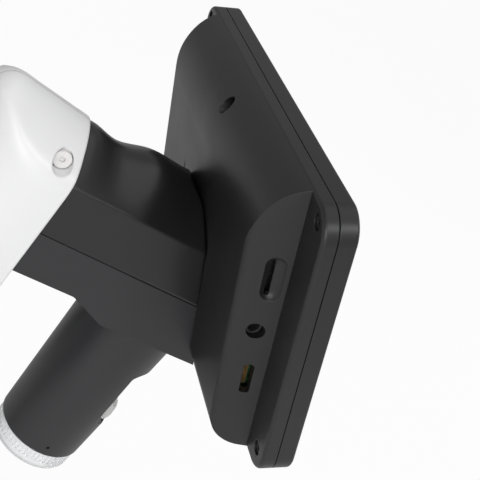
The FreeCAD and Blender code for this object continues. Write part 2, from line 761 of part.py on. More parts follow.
def neck_shell(upper):
    solid = neck_solid(0.0)
    shell = solid.cut(neck_solid(neck_wall))
    open_back = box((-60, 60), (at_axis(hood_front - neck_wall - 0.5), at_axis(hood_front + 5)), (neck_rear_bottom + neck_wall, neck_crease + 4.0))
    shell = shell.cut(open_back.common(neck_solid(neck_wall * 0.99)))
    if upper:
        keep = box((-60, 60), (at_axis(-60), at_axis(80)), (neck_seam + shell_gap / 2, 300))
    else:
        keep = box((-60, 60), (at_axis(-60), at_axis(80)), (0, neck_seam - shell_gap / 2))
    half = shell.common(keep)
    floor_z = {neck_screw_front: neck_front_bottom, neck_screw_rear: neck_rear_bottom}
    for x, y in neck_screw_places():
        if upper:
            boss = rod((x, at_axis(y), neck_seam + shell_gap / 2), (0, 0, 1), 22.0, 3.2)
            boss = boss.common(neck_solid(neck_wall * 0.5))
            half = join([half, boss])
            half = half.cut(rod((x, at_axis(y), neck_seam - 1), (0, 0, 1), 12.0, 1.3))
        else:
            low = floor_z[y]
            boss = rod((x, at_axis(y), low), (0, 0, 1), neck_seam - shell_gap / 2 - low, 3.2)
            half = join([half, boss.common(neck_solid(0.0))])
            half = half.cut(rod((x, at_axis(y), low - 1), (0, 0, 1), neck_seam, 1.6))
            half = half.cut(rod((x, at_axis(y), low - 1), (0, 0, 1), 7.0, 2.6))
    if upper:
        for slot in lug_slots():
            half = half.cut(slot)
    else:
        hole = barrel_radius(neck_front_bottom + neck_wall) + barrel_gap
        half = half.cut(rod((0, axis_y, 100), (0, 0, 1), 100, hole))
    return half


def neck_screws():
    screws = []
    floor_z = {neck_screw_front: neck_front_bottom, neck_screw_rear: neck_rear_bottom}
    for x, y in neck_screw_places():
        low = floor_z[y] + 4.2
        head = rod((x, at_axis(y), low), (0, 0, 1), 1.8, 2.4)
        head = head.cut(rod((x, at_axis(y), low), (0, 0, 1), 1.0, 1.0))
        shank = rod((x, at_axis(y), low + 1.8), (0, 0, 1), neck_seam + 9.0 - low - 1.8, 1.25)
        screws.append(head.fuse(shank))
    return Part.makeCompound(screws)


def neck_frame():
    """Steel frame from the guide block to the hinge ears."""
    _, hy, hz = hinge_point()
    deck_low = 194.0
    plate_front = hood_front + hood_wall + 0.2
    rear_plate = box((-12, 12), (at_axis(plate_front), at_axis(plate_front + 1.6)), (knob_height + 9.0, deck_low + 2.0))
    deck = box((-12, 12), (hy - 3.4, at_axis(plate_front + 1.6)), (deck_low, deck_low + 2.0))
    parts = [rear_plate, deck]
    spans = [(-knuckle_half, knuckle_half), (ear_inner, ear_outer), (-ear_outer, -ear_inner)]
    for low, high in spans:
        parts.append(box((low, high), (hy - ear_radius, hy + ear_radius), (deck_low, hz)))
        parts.append(rod((low, hy, hz), (1, 0, 0), high - low, ear_radius))
    frame = join(parts)
    return frame.cut(rod((-20, hy, hz), (1, 0, 0), 40, pin_radius + 0.02))


def hinge_pin():
    _, hy, hz = hinge_point()
    return rod((-pin_half_length, hy, hz), (1, 0, 0), 2 * pin_half_length, pin_radius)


def hinge_washers():
    _, hy, hz = hinge_point()
    washers = []
    for sx in (-1, 1):
        start = sx * (lug_outer + 0.05)
        washers.append(ring((start, hy, hz), (sx, 0, 0), 0.3, 2.9, pin_radius + 0.02))
        start = sx * (knuckle_half + 0.05)
        washers.append(ring((start, hy, hz), (sx, 0, 0), 0.3, 2.9, pin_radius + 0.02))
    return Part.makeCompound(washers)


# The camera barrel with its focus drive
def barrel_radius(z):
    return rim_radius + barrel_taper * (z - rim_height)


def radial(distance, sideways, z):
    """A point in front of the focus pocket: outwards, sideways and up."""
    turn = math.radians(pocket_turn)
    x = distance * math.cos(turn) - sideways * math.sin(turn)
    y = distance * math.sin(turn) + sideways * math.cos(turn)
    return FreeCAD.Vector(x, axis_y + y, z)


def radial_block(out, side, z):
    """A block given outwards, sideways and upwards from the optical axis."""
    block = box(out, side, z)
    block.rotate(FreeCAD.Vector(0, 0, 0), FreeCAD.Vector(0, 0, 1), pocket_turn)
    block.translate(FreeCAD.Vector(0, axis_y, 0))
    return block


def radial_rod(out, side, z, length, radius):
    """A rod along the wheel's axle direction."""
    turn = math.radians(pocket_turn)
    start = radial(out, side, z)
    return Part.makeCylinder(radius, length, start, FreeCAD.Vector(-math.sin(turn), math.cos(turn), 0))


focus_pitch = focus_module * focus_teeth / 2.0
rack_arm_low = wheel_thickness / 2.0 + 0.5
rack_arm_high = rack_arm_low + 3.0
lamp_low = rim_height + cap_insert + lamp_clearance
ring_low = lamp_low + 0.9
flange_low = ring_low + 1.0 + lens_travel + 0.5
flange_high = flange_low + 2.5
lens_high = flange_high
wheel_height = flange_high + lens_travel + wheel_radius + wheel_clear
wheel_crest = barrel_radius(wheel_height) - pocket_depth + wheel_proud
wheel_axis = wheel_crest - wheel_radius
focus_rack_pitch = wheel_axis - focus_pitch
barrel_cone_top = neck_front_bottom + neck_wall + 0.1


def barrel_tube():
    low_r = rim_radius
    high_r = barrel_radius(barrel_cone_top)
    centre = FreeCAD.Vector(0, axis_y, rim_height)
    cone = Part.makeCone(low_r, high_r, barrel_cone_top - rim_height, centre)
    rim = [e for e in cone.Edges if len(e.Vertexes) == 1 and e.Vertexes[0].Z < rim_height + 0.1]
    cone = cone.makeFillet(0.8, rim)
    stub = rod((0, axis_y, barrel_cone_top - 2.0), (0, 0, 1), barrel_top - barrel_cone_top + 2.0, barrel_stub_radius)
    body = cone.fuse(stub.common(neck_front_region(neck_wall + shell_gap, hinge_reach - hinge_gap)))
    body = body.cut(rod((0, axis_y, rim_height - 1), (0, 0, 1), 100, barrel_bore))
    flat = barrel_radius(wheel_height) - pocket_depth
    pad = radial_block((flat - 5.2, flat), (-10.5, 10.5), (flange_high + 5.0, pocket_high + 3.0))
    pad = pad.common(rod((0, axis_y, rim_height), (0, 0, 1), 100, barrel_bore + 0.5))
    ledge = ring((0, axis_y, board_seat - 2.0), (0, 0, 1), 2.0, barrel_bore + 0.5, 12.5)
    body = join([body, pad, ledge])
    cutter_side = 14.0
    pocket = radial_block((flat, flat + 10.0), (-cutter_side, cutter_side), (pocket_low, pocket_high))
    edges = [e for e in pocket.Edges if abs(e.Vertexes[0].Z - e.Vertexes[1].Z) < 0.01
             and e.Length > 2 * cutter_side - 0.1]
    inner_edges = [e for e in edges if math.hypot(e.CenterOfMass.x, e.CenterOfMass.y - axis_y) < flat + 0.5]
    pocket = pocket.makeFillet(3.0, inner_edges)
    body = body.cut(pocket)
    wheel_room = wheel_thickness / 2.0 + 0.35
    body = body.cut(radial_block((0, 30), (-wheel_room, wheel_room), (wheel_height - wheel_radius - 0.5, wheel_height + wheel_radius + 0.5)))
    arm_room = radial_block((0, wheel_axis + focus_pitch + 1.6), (-0.1, rack_arm_high + 0.4), (flange_high, pocket_high + 4.0))
    body = body.cut(arm_room)
    body = body.cut(radial_rod(wheel_axis, -9.5, wheel_height, 19.0, 1.0 + run_clearance))
    turn = math.radians(key_hole_turn)
    out = barrel_radius(key_hole_height) - 1.3
    mark = (out * math.cos(turn), axis_y + out * math.sin(turn), key_hole_height)
    return body.cut(rod(mark, (math.cos(turn), math.sin(turn), 0), 3.0, 0.6))


def focus_wheel():
    """The knurled thumb wheel with its small pinion on one side."""
    disc = radial_rod(wheel_axis, -wheel_thickness / 2.0, wheel_height, wheel_thickness, wheel_radius)
    grooves = []
    count = 36
    for k in range(count):
        turn = 2 * math.pi * k / count
        out = wheel_axis + (wheel_radius + 0.15) * math.cos(turn)
        up = wheel_height + (wheel_radius + 0.15) * math.sin(turn)
        grooves.append(radial_rod(out, -wheel_thickness / 2.0 - 0.5, up, wheel_thickness + 1.0, 0.38))
    disc = disc.cut(Part.makeCompound(grooves))
    place = lambda a, b: radial(wheel_axis - a, wheel_thickness / 2.0 - 0.2, wheel_height + b)
    pinion = gear_face(focus_module, focus_teeth, 0.05, place)
    turn = math.radians(pocket_turn)
    along = FreeCAD.Vector(-math.sin(turn), math.cos(turn), 0)
    pinion = pinion.extrude(along * (rack_arm_high - wheel_thickness / 2.0 + 0.2))
    return join([disc, pinion]).cut(radial_rod(wheel_axis, -20, wheel_height, 40, 1.0))


def focus_axle():
    return radial_rod(wheel_axis, -9.2, wheel_height, 18.4, 1.0)


def lens_carriage():
    """The sliding lens tube, its guide flange and its toothed arm."""
    tube = ring((0, axis_y, lens_low), (0, 0, 1), lens_high - lens_low, lens_tube_radius, lens_tube_radius - 1.6)
    flange = ring((0, axis_y, flange_low), (0, 0, 1), flange_high - flange_low, barrel_bore - 0.3, lens_tube_radius - 0.8)
    root = focus_rack_pitch - 1.25 * focus_module
    pitch = math.pi * focus_module
    top = wheel_height + 9.0
    teeth = rack_points(focus_module, wheel_height - 9.0, top, 0.05, wheel_height + pitch / 2.0)
    outline_points = [(flange_high - 0.5, -1.8), (flange_high - 0.5, 0.0)] + teeth + [(top, 0.0), (top, -1.8)]
    points = [radial(root + out, rack_arm_low, height) for height, out in outline_points]
    points.append(points[0])
    turn = math.radians(pocket_turn)
    along = FreeCAD.Vector(-math.sin(turn), math.cos(turn), 0) * (rack_arm_high - rack_arm_low)
    arm = Part.Face(Part.makePolygon(points)).extrude(along)
    return join([tube, flange, arm])


def lens_disc(low, thickness, radius):
    """A lens with a gently domed lower face."""
    blank = rod((0, axis_y, low), (0, 0, 1), thickness, radius)
    sphere = Part.makeSphere(18.0, FreeCAD.Vector(0, axis_y, low + 18.0))
    return blank.common(sphere)


def barrel_cap():
    """The clear cap with its fluted band, pushed into the barrel's mouth."""
    outer = rim_radius - 0.5
    low = rim_height - cap_drop
    band = rod((0, axis_y, low), (0, 0, 1), cap_drop - 0.2, outer)
    edges = [e for e in band.Edges if len(e.Vertexes) == 1 and e.Vertexes[0].Z < low + 0.1]
    band = band.makeFillet(1.5, edges)
    plug = rod((0, axis_y, rim_height - 0.5), (0, 0, 1), cap_insert + 0.5, barrel_bore - 0.3)
    body = band.fuse(plug)
    body = body.cut(rod((0, axis_y, low - 1), (0, 0, 1), 30, outer - cap_wall - 2.0))
    flutes = []
    for k in range(cap_flutes):
        turn = 2 * math.pi * k / cap_flutes
        x = (outer + 0.15) * math.cos(turn)
        y = axis_y + (outer + 0.15) * math.sin(turn)
        flutes.append(rod((x, y, rim_height - 3.9), (0, 0, 1), 3.2, cap_flute_radius))
    return body.cut(Part.makeCompound(flutes))


def barrel_clamp():
    """Ring inside the neck that holds the barrel down on the floor."""
    low = barrel_cone_top
    clamp = ring((0, axis_y, low), (0, 0, 1), 3.0, barrel_stub_radius + 1.8, barrel_stub_radius + 0.05)
    return clamp.common(neck_solid(neck_wall + shell_gap))


def camera_board():
    return rod((0, axis_y, board_seat), (0, 0, 1), 1.6, barrel_bore - 0.2)


def image_sensor():
    return box((-4, 4), (axis_y - 4, axis_y + 4), (board_seat - 1.4, board_seat))


def light_ring_board():
    return ring((0, axis_y, ring_low), (0, 0, 1), 1.0, barrel_bore - 0.2, lens_tube_radius + 0.8)


def light_ring_lamps():
    lamps = []
    for k in range(8):
        lamp = box((10.2, 12.8), (-1.5, 1.5), (lamp_low, ring_low))
        lamp.rotate(FreeCAD.Vector(0, 0, 0), FreeCAD.Vector(0, 0, 1), 45.0 * k)
        lamp.translate(FreeCAD.Vector(0, axis_y, 0))
        lamps.append(lamp)
    return Part.makeCompound(lamps)


def camera_ribbon():
    """The flat cable from the camera board to its plug under the frame's deck."""
    y = axis_y + 9.0
    deck = 194.0
    rise = box((-3.5, 3.5), (y - 0.25, y + 0.25), (board_seat + 1.6, deck - 2.75))
    run = box((-3.5, 3.5), (y - 0.25, y + 6.0), (deck - 3.25, deck - 2.75))
    plug = box((-5.0, 5.0), (y + 5.0, y + 10.0), (deck - 3.8, deck - 0.05))
    return join([rise, run, plug])


# The screen: bezel, back cover and what they hold
def screen_block(width, height, corner, front, back):
    x = width / 2.0
    z = height / 2.0
    corners = [(-x, -z, corner), (x, -z, corner), (x, z, corner), (-x, z, corner)]
    return prism(corners, lambda a, b: FreeCAD.Vector(a, front, b), (0, back - front, 0))


def hump_face(u):
    return hump_depth + hump_slope * u


def hump_body(inset):
    """The raised middle of the back cover: an elliptic top flank, a flat face, a rounded foot."""
    half_height = monitor_height / 2.0 - inset
    start = trough_depth - inset - 3.0
    top_flat = monitor_height / 2.0 - hump_top_run
    steps = 8
    flank = []
    flank_low = bezel_depth + 1.7
    rise = hump_face(top_flat) - inset - flank_low
    for k in range(steps + 1):
        turn = math.pi / 2.0 * k / steps
        flank.append(FreeCAD.Vector(-100, flank_low + rise * math.cos(turn), top_flat + (half_height - top_flat) * math.sin(turn)))
    spline = Part.BSplineCurve()
    spline.interpolate(flank)
    low_u = -half_height
    foot = hump_bottom_round - inset
    face_low = hump_face(low_u + foot) - inset
    centre_d = face_low - foot
    diagonal = foot * math.sqrt(0.5)
    point = lambda d, u: FreeCAD.Vector(-100, d, u)
    arc = Part.Arc(point(face_low, low_u + foot), point(centre_d + diagonal, low_u + foot - diagonal), point(centre_d, low_u))
    edges = [spline.toShape(),
             Part.LineSegment(flank[0], point(face_low, low_u + foot)).toShape(),
             arc.toShape(),
             Part.LineSegment(point(centre_d, low_u), point(start, low_u)).toShape(),
             Part.LineSegment(point(start, low_u), point(start, half_height)).toShape(),
             Part.LineSegment(point(start, half_height), flank[-1]).toShape()]
    edges.reverse()
    side = Part.Face(Part.Wire(edges)).extrude(FreeCAD.Vector(200, 0, 0))
    slope = (crease_x - hump_half_width) / (hump_depth - trough_depth)
    base_half = crease_x + slope * 4.0 - inset
    top_half = hump_half_width - inset
    round_edge = max(0.6, 2.6 - inset)
    face = [(-base_half, trough_depth - 4.0, 0), (base_half, trough_depth - 4.0, 0),
            (top_half, hump_depth - inset, round_edge), (-top_half, hump_depth - inset, round_edge)]
    across = prism(face, lambda a, b: FreeCAD.Vector(a, b, -80), (0, 0, 160))
    across.rotate(FreeCAD.Vector(0, hump_depth, 0), FreeCAD.Vector(1, 0, 0), -math.degrees(math.atan(hump_slope)))
    return side.common(across)


def slab_body(inset):
    width = monitor_width - 2 * inset
    height = monitor_height - 2 * inset
    corner = monitor_corner - inset
    slab = screen_block(width, height, corner, bezel_depth + shell_gap / 2, trough_depth - inset)
    if inset:
        return slab
    edges = [e for e in slab.Edges if min(v.Y for v in e.Vertexes) > trough_depth - 0.01]
    return slab.makeFillet(trough_edge_round, edges)


def hump_screw_seat():
    """Depth of the hump's surface at the upper screw."""
    top_flat = monitor_height / 2.0 - hump_top_run
    share = (upper_screw_row - top_flat) / hump_top_run
    low = bezel_depth + 1.7
    return low + (hump_face(top_flat) - low) * math.sqrt(1.0 - share * share)


def corner_screws():
    return [(sx * screw_column_x, u) for sx in (-1, 1) for u in (screw_row_low, screw_row_high)]


def port_list():
    """Side, place up the wall, depth, length up the wall, height and corner of each opening."""
    depth = board_depth + board_thickness
    return [(-1, 17.2, depth + 2.1, 12.2, 1.6, 0.5), (-1, -20.3, depth + 2.0, 11.2, 2.9, 0.9),
            (1, 17.0, depth + 2.0, 8.2, 3.0, 1.2), (-1, -1.8, depth + 2.8, 5.5, 5.5, 2.74),
            (1, -1.0, depth + 2.8, 5.6, 5.6, 2.79)]


def port_cut(port, extra):
    side, u, depth, length, height, corner = port
    half_l = length / 2.0 + extra
    half_h = height / 2.0 + extra
    points = [(-half_h, -half_l, corner + extra), (half_h, -half_l, corner + extra),
              (half_h, half_l, corner + extra), (-half_h, half_l, corner + extra)]
    start = side * (hump_half_width - 6.0)
    return prism(points, lambda a, b: FreeCAD.Vector(start, depth + a, u + b), (side * 20.0, 0, 0))


def neck_bay(extra):
    """The space in the cover's face where the neck's end nests, grown by a wall."""
    _, hy, hz = hinge_point()
    half = neck_half_width + bay_side_gap + extra
    bay = box((-half, half), (-hinge_reach - extra, 60), (-200, 0))
    bay.rotate(FreeCAD.Vector(0, 0, 0), FreeCAD.Vector(1, 0, 0), -neck_end_lean)
    bay.translate(FreeCAD.Vector(0, hy, hz))
    return bay


def monitor_back():
    outer = join([slab_body(0.0), hump_body(0.0)])
    inner = join([slab_body(monitor_wall), hump_body(monitor_wall)])
    below = screen_block(monitor_width - 2 * monitor_wall, monitor_height - 2 * monitor_wall,
                         monitor_corner - monitor_wall, bezel_depth - 1, bezel_depth + 1)
    shell = in_screen(outer.cut(below)).cut(in_screen(inner).cut(neck_bay(monitor_wall)))
    shell = shell.cut(neck_bay(0.0))
    front = bezel_depth + shell_gap / 2
    bosses = [rod((x, front, u), (0, 1, 0), trough_depth - monitor_wall - front + 0.5, 3.4) for x, u in corner_screws()]
    seat = hump_screw_seat()
    bosses.append(rod((0, front, upper_screw_row), (0, 1, 0), seat - front - 1.0, 3.4).common(outer))
    shell = join([shell] + [in_screen(boss) for boss in bosses])
    cuts = []
    for x, u in corner_screws():
        cuts.append(rod((x, front - 1, u), (0, 1, 0), 20, 1.4))
        cuts.append(rod((x, trough_depth - 1.7, u), (0, 1, 0), 6, 2.4))
    cuts.append(rod((0, front - 1, upper_screw_row), (0, 1, 0), 30, 1.4))
    cuts.append(rod((0, seat - 5.0, upper_screw_row), (0, 1, 0), 12, 2.7))
    cuts += [port_cut(port, 0.0) for port in port_list()]
    for sx in (-1, 1):
        x = sorted((sx * (lug_inner - lug_side_gap), sx * (lug_outer + lug_side_gap)))
        span = (hinge_u - lug_drop - 1.0, hinge_u - 1.5)
        cuts.append(box(tuple(x), (hump_depth - 4.5, hump_depth + 6), span))
    _, card_u, card_depth, _, _, _ = port_list()[0]
    wall_x = crease_x - hump_lean_in * (card_depth - trough_depth) / (hump_depth - trough_depth)
    dish_x = -(wall_x + dish_radius - dish_depth)
    dish = [rod((dish_x, card_depth, card_u - 4.5), (0, 0, 1), 9.0, dish_radius)]
    dish += [Part.makeSphere(dish_radius, FreeCAD.Vector(dish_x, card_depth, card_u + end)) for end in (-4.5, 4.5)]
    cuts.append(join(dish))
    for cut in cuts:
        shell = shell.cut(in_screen(cut))
    return shell


def monitor_bezel():
    body = screen_block(monitor_width, monitor_height, monitor_corner, 0.0, bezel_depth - shell_gap / 2)
    edges = [e for e in body.Edges if max(v.Y for v in e.Vertexes) < 0.01]
    body = body.makeFillet(1.0, edges)
    hollow = screen_block(monitor_width - 2 * monitor_wall, monitor_height - 2 * monitor_wall,
                          monitor_corner - monitor_wall, 2.0, bezel_depth + 1)
    body = body.cut(hollow)
    bosses = [rod((x, 1.9, u), (0, 1, 0), bezel_depth - shell_gap / 2 - 1.9, 3.4) for x, u in corner_screws()]
    bosses.append(rod((0, 1.9, upper_screw_row), (0, 1, 0), bezel_depth - shell_gap / 2 - 1.9, 3.2))
    body = join([body] + bosses)
    cuts = [rod((x, 2.2, u), (0, 1, 0), 8, 1.1) for x, u in corner_screws()]
    cuts.append(rod((0, 2.2, upper_screw_row), (0, 1, 0), 8, 1.1))
    cuts.append(screen_block(window_width, window_height, 1.5, -1, 3.0))
    cuts.append(screen_block(window_width + 3.0, window_height + 3.0, 2.0, 0.8, 3.0))
    cuts += [rod((x, -1, button_row), (0, 1, 0), 4, button_radius + 0.25) for x in button_places()]
    for cut in cuts:
        body = body.cut(cut)
    return in_screen(body)


def button_places():
    first = -(button_count - 1) * button_pitch / 2.0
    return [first + k * button_pitch for k in range(button_count)]


def monitor_button(x):
    cap = rod((x, -button_proud, button_row), (0, 1, 0), button_proud + 2.6, button_radius)
    edges = [e for e in cap.Edges if len(e.Vertexes) == 1 and e.Vertexes[0].Y < 0]
    cap = cap.makeFillet(0.4, edges)
    flange = rod((x, 2.3, button_row), (0, 1, 0), 0.7, button_radius + button_lip)
    return in_screen(join([cap, flange]))


def button_board():
    """Strip board under the buttons, with one dome switch for each."""
    half = (button_count - 1) * button_pitch / 2.0 + button_board_margin
    strip = box((-half, half), (button_board_depth, button_board_depth + 1.0), (button_row - 3.2, button_row + 3.2))
    domes = [rod((x, 3.0 + button_travel + 0.05, button_row), (0, 1, 0), 0.9, 1.6) for x in button_places()]
    return in_screen(join([strip] + domes))


def screen_window():
    return in_screen(screen_block(window_width + 2.6, window_height + 2.6, 1.8, 0.85, 0.85 + window_thickness))


def display_panel():
    front = 0.85 + window_thickness + 0.1
    width = window_width + 2 * panel_lap
    panel = screen_block(width, window_height + panel_lap, 0.8, front, front + panel_thickness)
    return in_screen(panel)


def main_board():
    half = board_half_width
    board = box((-half, half), (board_depth, board_depth + board_thickness), (board_low, board_high))
    back = board_depth + board_thickness
    chip = box((-16, 0), (back - 0.1, back + 1.2), (board_low + 8.0, board_low + 24.0))
    seat = 0.85 + window_thickness + 0.1 + panel_thickness + 0.05
    posts = [rod((x, seat, z), (0, 1, 0), board_depth + 0.1 - seat, 2.2)
             for x in (4 - half, half - 4) for z in (board_low + 3.0, board_high - 3.0)]
    return in_screen(join([board, chip] + posts))


def battery_pack():
    low = board_depth + board_thickness + 0.1
    pack = box((battery_inner, board_half_width - battery_outer_room), (low, low + 5.0), (board_low + 3.5, board_high - 4.0))
    edges = [e for e in pack.Edges if abs(e.Vertexes[0].Z - e.Vertexes[1].Z) > 30]
    return in_screen(pack.makeFillet(2.2, edges))


def socket(port, body_length, body_low, body_high, behind, hollow_deep):
    """A connector body behind its opening, with its mouth."""
    side, u, depth, length, height, corner = port
    face = hump_half_width - monitor_wall - 1.0
    x = sorted((side * (face - behind), side * face))
    body = box(tuple(x), (body_low, body_high), (u - body_length / 2, u + body_length / 2))
    mouth = port_cut((side, u, depth, length - 0.6, height - 0.5, max(0.2, corner - 0.3)), 0.0)
    deep = sorted((side * (face - hollow_deep), side * (face + 10)))
    mouth = mouth.common(box(tuple(deep), (0, 40), (-80, 80)))
    return body.cut(mouth)


def card_socket():
    port = port_list()[0]
    low = board_depth + board_thickness
    return in_screen(socket(port, 15.0, low, low + 3.8, 14.0, 12.0))


def video_socket():
    port = port_list()[1]
    low = board_depth + board_thickness
    shell = socket(port, 13.4, low, low + 4.0, 7.5, 6.5)
    side, u, depth, length, height, corner = port
    face = hump_half_width - monitor_wall - 1.0
    x = sorted((side * (face - 7.0), side * (face - 1.0)))
    tongue = box(tuple(x), (depth - 0.35, depth + 0.35), (u - 4.0, u + 4.0))
    return in_screen(join([shell, tongue]))


def usb_socket():
    port = port_list()[2]
    low = board_depth + board_thickness
    return in_screen(socket(port, 10.0, low, low + 4.2, 6.5, 5.5))


def jack_socket(port):
    low = board_depth + board_thickness
    side, u, depth, length, height, corner = port
    face = hump_half_width - monitor_wall - 1.0
    x = sorted((side * (face - 12.0), side * (face - 1.0)))
    body = box(tuple(x), (low, low + 6.0), (u - 3.4, u + 3.4))
    collar = rod((side * (face - 1.5), depth, u), (side, 0, 0), 4.6, length / 2.0 - 0.1)
    bore = rod((side * (face - 11.0), depth, u), (side, 0, 0), 20.0, 1.8)
    return in_screen(join([body, collar]).cut(bore))


def monitor_screws():
    screws = []
    for x, u in corner_screws():
        head = rod((x, trough_depth - 1.7, u), (0, 1, 0), 1.1, 2.1)
        head = head.cut(rod((x, trough_depth - 1.1, u), (0, 1, 0), 1.0, 0.7))
        screws.append(head.fuse(rod((x, 2.6, u), (0, 1, 0), trough_depth - 1.7 - 2.6, 1.05)))
    seat = hump_screw_seat() - 5.0
    head = rod((0, seat, upper_screw_row), (0, 1, 0), 1.4, 2.4)
    head = head.cut(rod((0, seat + 0.7, upper_screw_row), (0, 1, 0), 1.0, 0.9))
    screws.append(head.fuse(rod((0, 2.6, upper_screw_row), (0, 1, 0), seat - 2.6, 1.05)))
    return in_screen(Part.makeCompound(screws))


def hinge_bracket():
    """Steel plate inside the cover with two slanted lugs that reach back to the hinge pin."""
    inside = hinge_d - hinge_reach - monitor_wall - 1.0
    plate = box((-14, 14), (inside - 2.1, inside - 0.1), (hinge_u - lug_drop - 3.0, hinge_u + 3.0))
    parts = [plate]
    for sx in (-1, 1):
        x = sorted((sx * lug_inner, sx * lug_outer))
        side = [(inside - 0.5, hinge_u - lug_drop, 0), (hinge_d + 1.0, hinge_u - lug_radius + 0.25, 0),
                (hinge_d - 2.3, hinge_u + 2.3, 0), (inside - 0.5, hinge_u - lug_foot, 0)]
        parts.append(prism(side, lambda a, b: FreeCAD.Vector(x[0], a, b), (x[1] - x[0], 0, 0)))
        parts.append(rod((x[0], hinge_d, hinge_u), (1, 0, 0), x[1] - x[0], lug_radius))
    bracket = join(parts)
    bracket = bracket.cut(rod((-20, hinge_d, hinge_u), (1, 0, 0), 40, pin_radius + run_clearance))
    return in_screen(bracket)


BUTTON_NAMES = ["power", "menu", "up", "select", "down", "snapshot"]

pieces = {
    "base_cover": base_cover(),
    "base_plate": base_plate(),
    "base_screws": countersunk(base_screw_places(), foot_height + 0.1, base_screw_length, 1.2),
    "pillar_screws": countersunk(pillar_screw_places(), foot_height + 0.1, pillar_screw_length, 1.5),
    "ballast_block": ballast_block(),
    "rubber_feet": rubber_feet(),
    "stage_plate": stage_plate(),
    "clip_posts": clip_posts(),
    "stage_clip_left": stage_clip(-1),
    "stage_clip_right": stage_clip(1),
    "pillar": pillar(),
    "gear_rack": gear_rack(),
    "rack_stops": rack_stops(),
    "hood_left": hood_half(-1),
    "hood_right": hood_half(1),
    "hood_screws": hood_screws(),
    "column_guide": column_guide(),
    "knob_shaft": knob_shaft(),
    "drive_pinion": drive_pinion(),
    "knob_left": drive_knob(-1),
    "knob_right": drive_knob(1),
    "neck_upper": neck_shell(True),
    "neck_lower": neck_shell(False),
    "neck_frame": neck_frame(),
    "neck_screws": neck_screws(),
    "hinge_pin": hinge_pin(),
    "hinge_washers": hinge_washers(),
    "hinge_bracket": hinge_bracket(),
    "barrel_tube": barrel_tube(),
    "barrel_clamp": barrel_clamp(),
    "barrel_cap": barrel_cap(),
    "camera_board": camera_board(),
    "image_sensor": image_sensor(),
    "camera_ribbon": camera_ribbon(),
    "light_ring_board": light_ring_board(),
    "light_ring_lamps": light_ring_lamps(),
    "focus_wheel": focus_wheel(),
    "focus_axle": focus_axle(),
    "lens_carriage": lens_carriage(),
    "front_lens": lens_disc(lens_low + 0.5, 2.2, lens_tube_radius - 1.65),
    "rear_lens": lens_disc(lens_high - 3.0, 2.0, lens_tube_radius - 1.65),
    "monitor_bezel": monitor_bezel(),
    "monitor_back": monitor_back(),
    "screen_window": screen_window(),
    "display_panel": display_panel(),
    "main_board": main_board(),
    "battery_pack": battery_pack(),
    "button_board": button_board(),
    "card_socket": card_socket(),
    "video_socket": video_socket(),
    "usb_socket": usb_socket(),
    "audio_jack": jack_socket(port_list()[3]),
    "power_jack": jack_socket(port_list()[4]),
    "monitor_screws": monitor_screws(),
}
for name, x in zip(BUTTON_NAMES, button_places()):
    pieces["button_" + name] = monitor_button(x)

for name, shape in pieces.items():
    save(name, shape)
print(len(pieces), "nodes")
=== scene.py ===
"""Looks of an upright digital microscope with a tilting screen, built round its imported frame."""

import json
import logging
from dataclasses import dataclass, field
from enum import Enum
from typing import Any, Dict, Tuple

import bpy
from mathutils import Matrix, Vector

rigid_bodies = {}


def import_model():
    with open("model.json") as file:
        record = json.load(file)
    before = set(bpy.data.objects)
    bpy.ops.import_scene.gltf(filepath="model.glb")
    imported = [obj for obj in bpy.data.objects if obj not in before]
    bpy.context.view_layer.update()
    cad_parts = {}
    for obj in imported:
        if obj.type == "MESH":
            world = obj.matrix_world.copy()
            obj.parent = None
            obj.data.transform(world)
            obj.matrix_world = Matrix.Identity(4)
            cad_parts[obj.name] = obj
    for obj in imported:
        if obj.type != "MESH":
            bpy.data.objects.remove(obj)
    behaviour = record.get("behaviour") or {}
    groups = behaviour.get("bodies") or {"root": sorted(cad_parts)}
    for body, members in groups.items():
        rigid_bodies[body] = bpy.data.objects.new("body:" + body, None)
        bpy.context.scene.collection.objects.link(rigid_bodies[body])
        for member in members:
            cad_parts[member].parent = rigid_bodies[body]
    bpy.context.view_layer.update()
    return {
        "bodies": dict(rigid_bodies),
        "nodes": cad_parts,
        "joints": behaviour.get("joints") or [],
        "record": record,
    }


Colour = Tuple[float, float, float]
Place = Tuple[float, float, float]

LOG = logging.getLogger("microscope")
WHITE: Colour = (1.0, 1.0, 1.0)
NOISE_MIDDLE = 0.5


class Value:
    """A number that varies over a surface: a socket whose arithmetic adds Math nodes."""

    def __init__(self, nodes: "Nodes", socket: bpy.types.NodeSocket) -> None:
        """Keep the socket and the nodes it belongs to."""
        self.nodes = nodes
        self.socket = socket

    def _math(self, operation: str, *values: Any) -> "Value":
        """Add one Math node.

        Args:
            operation: the Math node's operation.
            values: its inputs in order, numbers or Values.

        Returns:
            The node's output.
        """
        return self.nodes.node(
            "ShaderNodeMath", {"operation": operation}, dict(enumerate(values))
        )

    def __add__(self, other: Any) -> "Value":
        """self + other."""
        return self._math("ADD", self, other)

    def __radd__(self, other: Any) -> "Value":
        """other + self."""
        return self._math("ADD", other, self)

    def __sub__(self, other: Any) -> "Value":
        """self - other."""
        return self._math("SUBTRACT", self, other)

    def __rsub__(self, other: Any) -> "Value":
        """other - self."""
        return self._math("SUBTRACT", other, self)

    def __mul__(self, other: Any) -> "Value":
        """self * other."""
        return self._math("MULTIPLY", self, other)

    def __rmul__(self, other: Any) -> "Value":
        """other * self."""
        return self._math("MULTIPLY", other, self)

    def at_least(self, other: Any) -> "Value":
        """The larger of the two."""
        return self._math("MAXIMUM", self, other)

    def below(self, other: Any) -> "Value":
        """1 where self is less than other, else 0."""
        return self._math("LESS_THAN", self, other)


